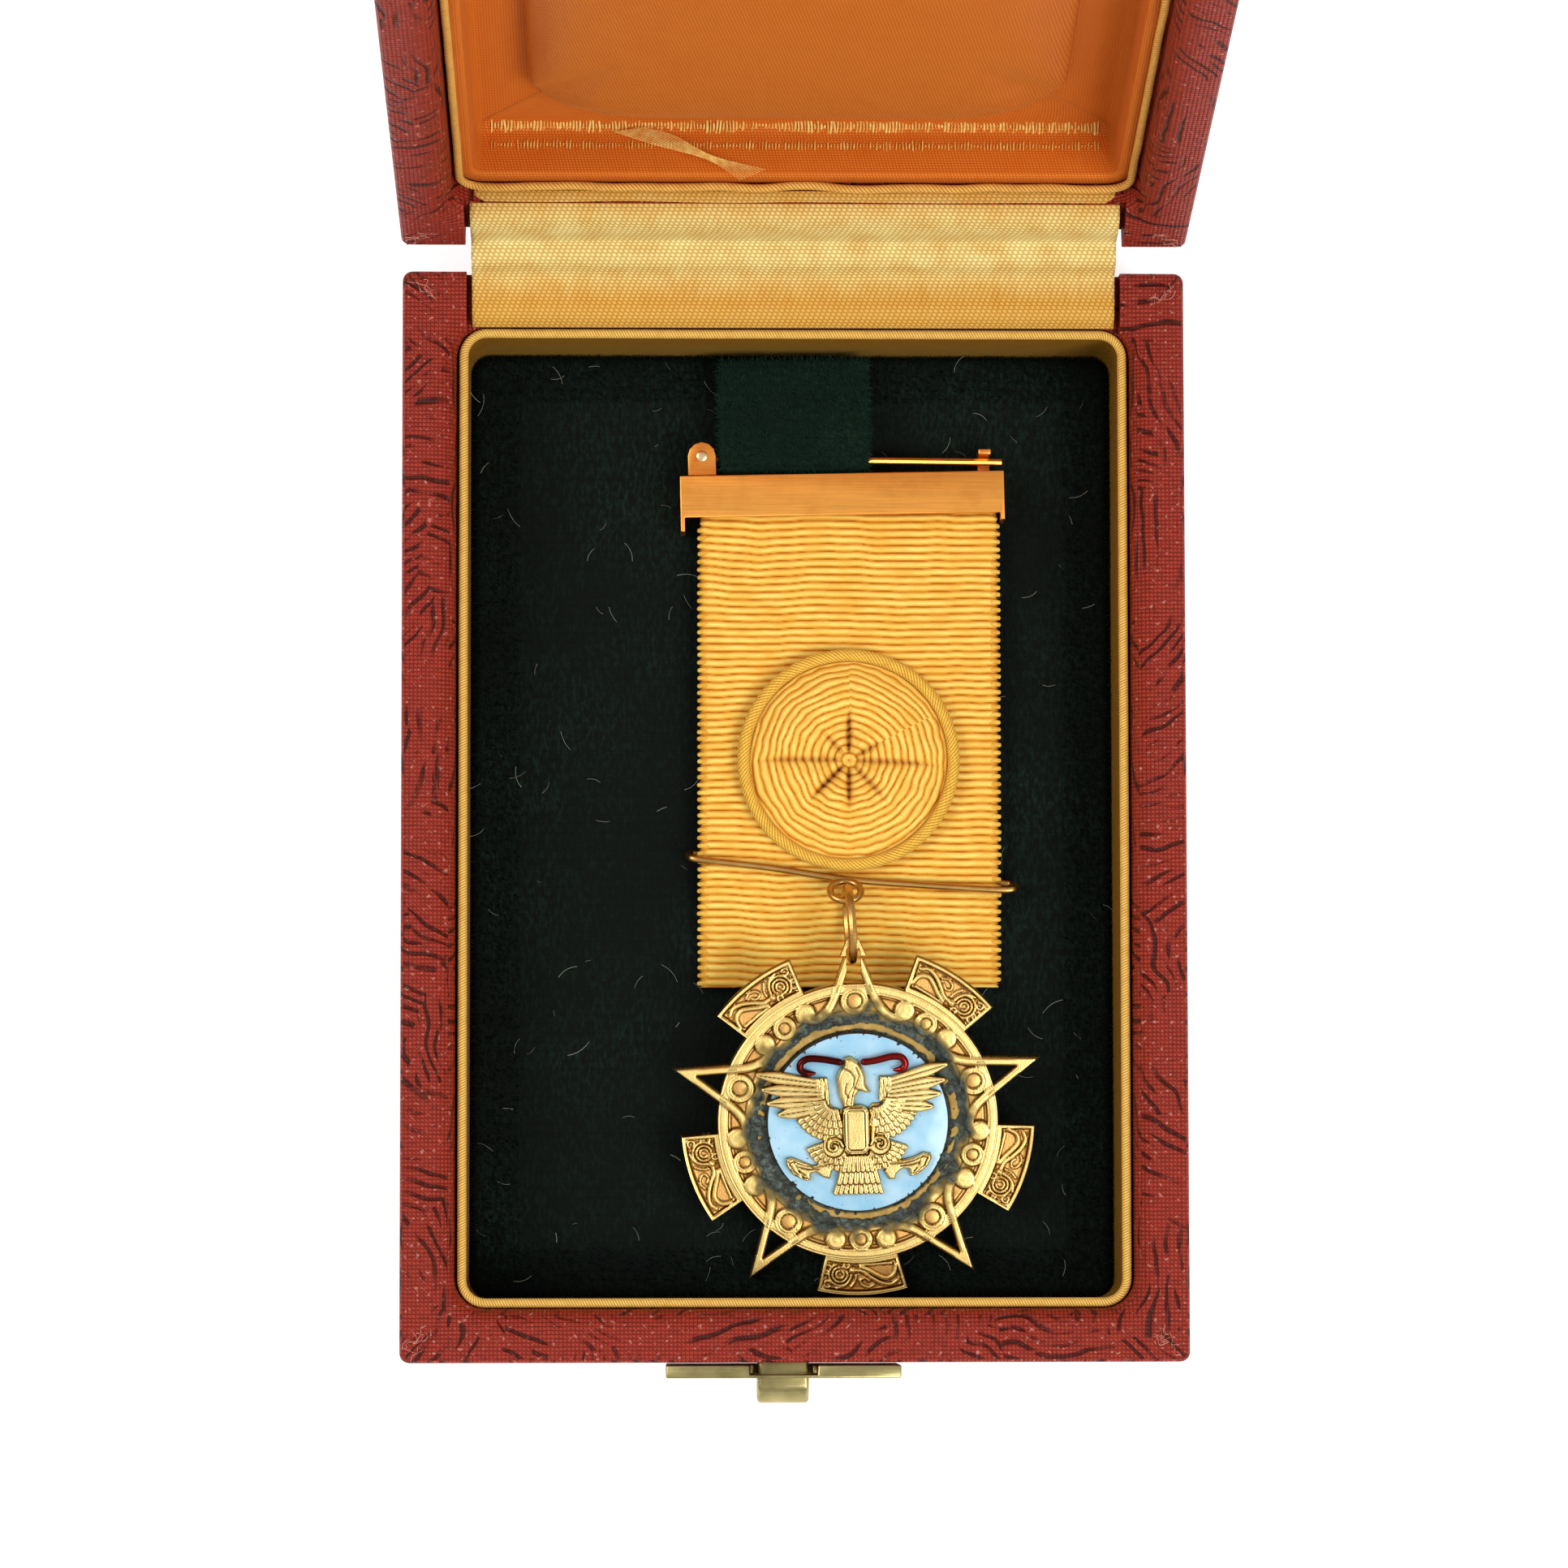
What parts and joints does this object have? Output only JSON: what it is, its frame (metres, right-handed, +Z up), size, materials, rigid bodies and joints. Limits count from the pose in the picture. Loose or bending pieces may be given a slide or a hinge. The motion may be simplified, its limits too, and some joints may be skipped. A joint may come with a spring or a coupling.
{
  "type": "order insignia badge in presentation case",
  "caption": "Enamelled order badge on a ribbon with rosette and pin bar, pinned in a satin and velvet case with a hinged lid and push-button catch.",
  "frame": {"origin": "middle of the case's flat underside", "axes": "+Z up, +X to the right seen from the catch, +Y from the catch to the hinge"},
  "size_m": [0.097, 0.1929, 0.1562],
  "materials": {
    "leatherette": "grained, semi-matt maroon",
    "satin": "golden satin weave",
    "piping": "gold cord, satin covered",
    "velvet": "dark green velvet",
    "latch_brass": "worn olive brass",
    "hinge_brass": "plain brass",
    "bar_gilt": "coppery gilt, satin polish",
    "wire_gilt": "worn gilt wire",
    "ribbon": "ribbed moire silk, golden yellow",
    "rosette": "gathered ribbed silk",
    "rosette_cord": "twisted silk cord",
    "badge_gilt": "light gilt with dark patina in the recess",
    "enamel": "glossy sky-blue enamel, chipped edge",
    "eagle_gilt": "chased gilt relief",
    "serpent_enamel": "glossy dark red enamel"
  },
  "bodies": {
    "base": {"case_base": "leatherette", "well_lining": "satin", "well_piping": "piping", "velvet_bed": "velvet", "velvet_tab": "velvet", "hinge_base_leaf": "hinge_brass", "hinge_pin": "hinge_brass", "hinge_satin_base": "satin", "catch_plate": "latch_brass", "brooch_bar": "bar_gilt", "pin_needle": "bar_gilt", "ribbon": "ribbon", "rosette_face": "rosette", "rosette_cord": "rosette_cord", "hanger_wire": "wire_gilt", "suspension_ring": "wire_gilt", "badge_frame": "badge_gilt", "enamel_disc": "enamel", "eagle": "eagle_gilt", "serpent_left": "serpent_enamel", "serpent_right": "serpent_enamel"},
    "lid": {"lid_shell": "leatherette", "lid_lining": "satin", "lid_welt": "piping", "lid_pillow": "satin", "hinge_lid_leaf": "hinge_brass", "hinge_satin_lid": "satin", "catch_hook": "latch_brass"},
    "button": {"catch_button": "latch_brass"}
  },
  "joints": [
    {"name": "lid_hinge", "type": "hinge", "parent": "base", "child": "lid", "pos_m": [0, 0.06942, 0.02215], "axis": [1, 0, 0], "range_deg": [0, 105]},
    {"name": "button_slide", "type": "slide", "parent": "base", "child": "button", "axis": [0, 1, 0], "range_m": [0, 0.0015], "stiffness_N_per_m": 600}
  ]
}
